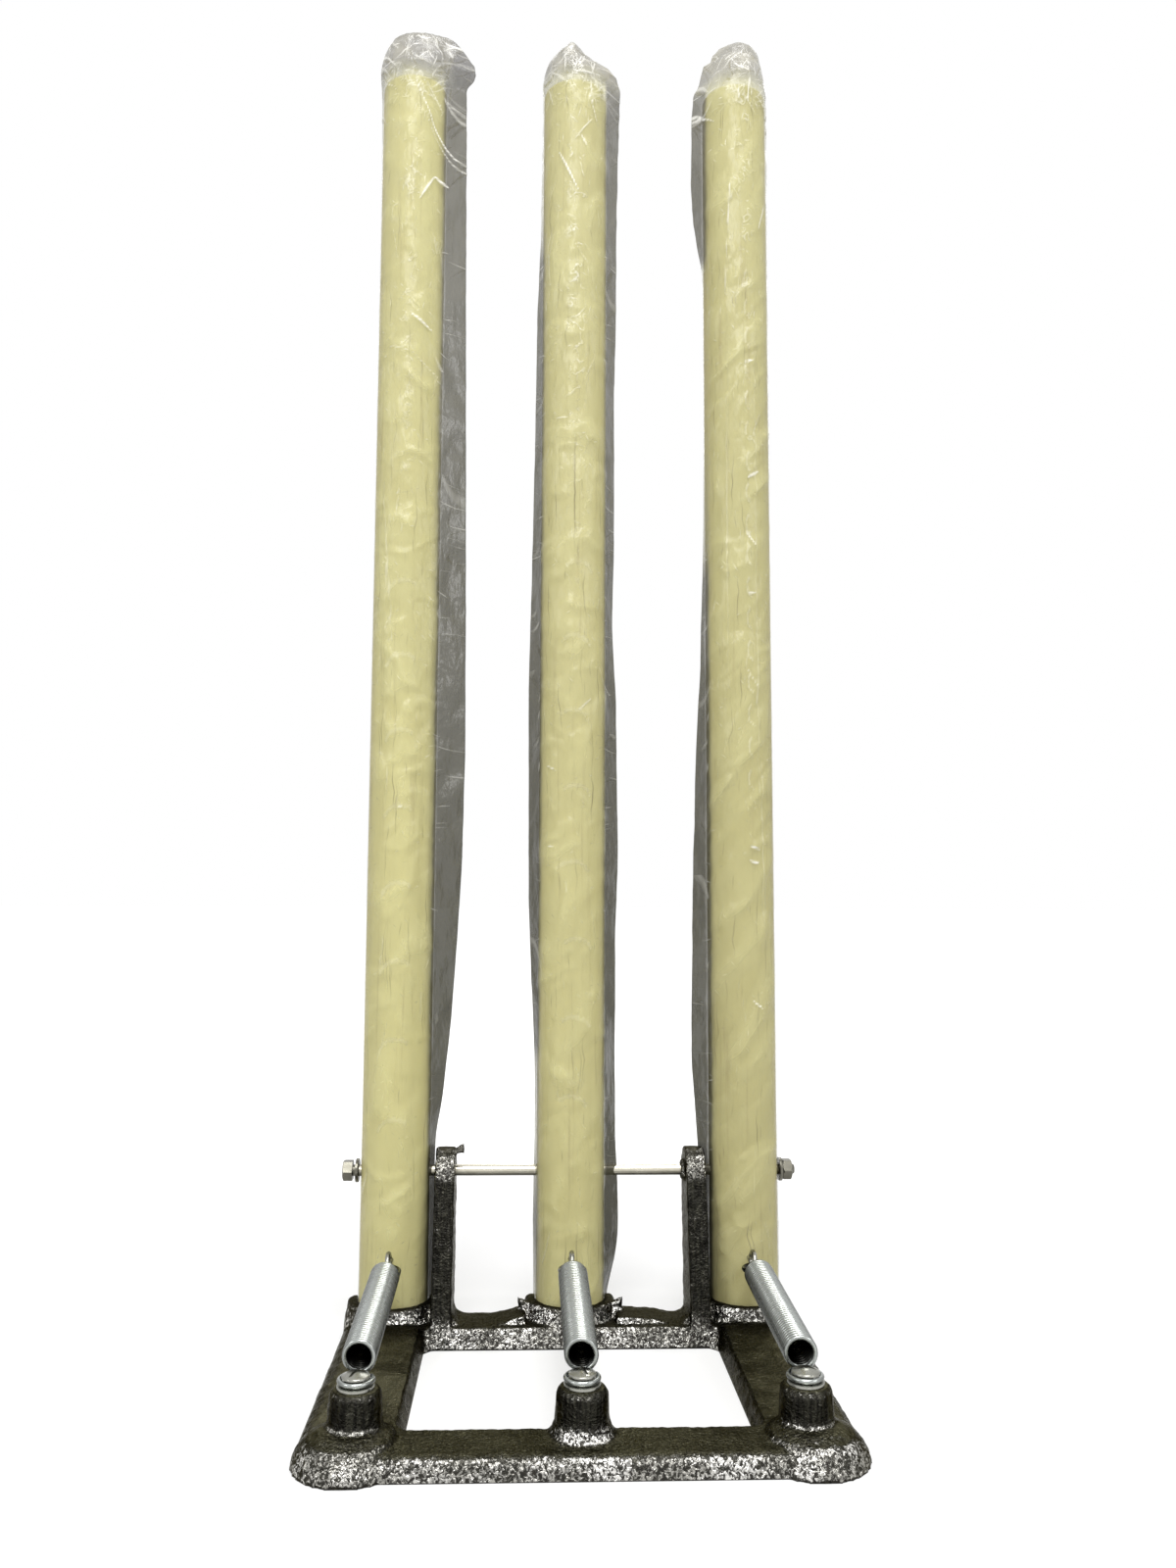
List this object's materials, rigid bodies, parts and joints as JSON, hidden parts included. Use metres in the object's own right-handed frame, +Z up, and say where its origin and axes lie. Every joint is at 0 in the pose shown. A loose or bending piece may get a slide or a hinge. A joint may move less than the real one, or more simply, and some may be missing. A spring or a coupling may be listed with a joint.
{
  "type": "cricket stumps",
  "caption": "Spring-back cricket stumps: wooden posts hinged on a long bolt over a cast-iron ground frame, each pulled upright by a coil spring.",
  "frame": {"origin": "bottom centre of the whole part's box, on the ground", "axes": "+X along the wicket from the left stump to the right one, +Y from the springs towards the stumps, +Z up"},
  "size_m": [0.2474, 0.194, 0.7308],
  "materials": {
    "casting": "rough sand casting under glossy black-brown paint",
    "bolt_steel": "zinc-plated steel with a warm tint",
    "screw_steel": "bright zinc-plated steel",
    "spring_steel": "bright zinc-plated spring wire",
    "stump_wood": "pale varnished wood",
    "clear_film": "thin clear crinkled film"
  },
  "bodies": {
    "frame_body": {"base_casting": "casting", "pivot_bolt": "bolt_steel", "pivot_nut": "bolt_steel", "bolt_head_washer": "bolt_steel", "nut_washer": "bolt_steel", "left_anchor_screw": "screw_steel", "left_anchor_washer": "screw_steel", "middle_anchor_screw": "screw_steel", "middle_anchor_washer": "screw_steel", "right_anchor_screw": "screw_steel", "right_anchor_washer": "screw_steel"},
    "left_stump_body": {"left_stump": "stump_wood", "left_film_sleeve": "clear_film", "left_screw_eye": "screw_steel"},
    "middle_stump_body": {"middle_stump": "stump_wood", "middle_film_sleeve": "clear_film", "middle_screw_eye": "screw_steel"},
    "right_stump_body": {"right_stump": "stump_wood", "right_film_sleeve": "clear_film", "right_screw_eye": "screw_steel"},
    "left_spring_body": {"left_spring": "spring_steel"},
    "middle_spring_body": {"middle_spring": "spring_steel"},
    "right_spring_body": {"right_spring": "spring_steel"}
  },
  "joints": [
    {"name": "left_stump_tilt", "type": "hinge", "parent": "frame_body", "child": "left_stump_body", "pos_m": [-0.0953, 0.07746, 0.0845], "axis": [1, 0, 0], "range_deg": [0, 90], "stiffness_Nm_per_rad": 3, "springref_deg": -11.46},
    {"name": "middle_stump_tilt", "type": "hinge", "parent": "frame_body", "child": "middle_stump_body", "pos_m": [0, 0.07746, 0.0845], "axis": [1, 0, 0], "range_deg": [0, 90], "stiffness_Nm_per_rad": 3, "springref_deg": -11.46},
    {"name": "right_stump_tilt", "type": "hinge", "parent": "frame_body", "child": "right_stump_body", "pos_m": [0.0953, 0.07746, 0.0845], "axis": [1, 0, 0], "range_deg": [0, 90], "stiffness_Nm_per_rad": 3, "springref_deg": -11.46},
    {"name": "left_spring_stretch", "type": "slide", "parent": "frame_body", "child": "left_spring_body", "axis": [0, 0.9782, 0.2075], "range_m": [0, 0.0715], "deforming": ["left_spring"]},
    {"name": "middle_spring_stretch", "type": "slide", "parent": "frame_body", "child": "middle_spring_body", "axis": [0, 0.9782, 0.2075], "range_m": [0, 0.0715], "deforming": ["middle_spring"]},
    {"name": "right_spring_stretch", "type": "slide", "parent": "frame_body", "child": "right_spring_body", "axis": [0, 0.9782, 0.2075], "range_m": [0, 0.0715], "deforming": ["right_spring"]}
  ],
  "couplings": [
    {"joint": "left_spring_stretch", "follows": "left_stump_tilt", "m_per_rad": 0.0451},
    {"joint": "middle_spring_stretch", "follows": "middle_stump_tilt", "m_per_rad": 0.0451},
    {"joint": "right_spring_stretch", "follows": "right_stump_tilt", "m_per_rad": 0.0451}
  ]
}
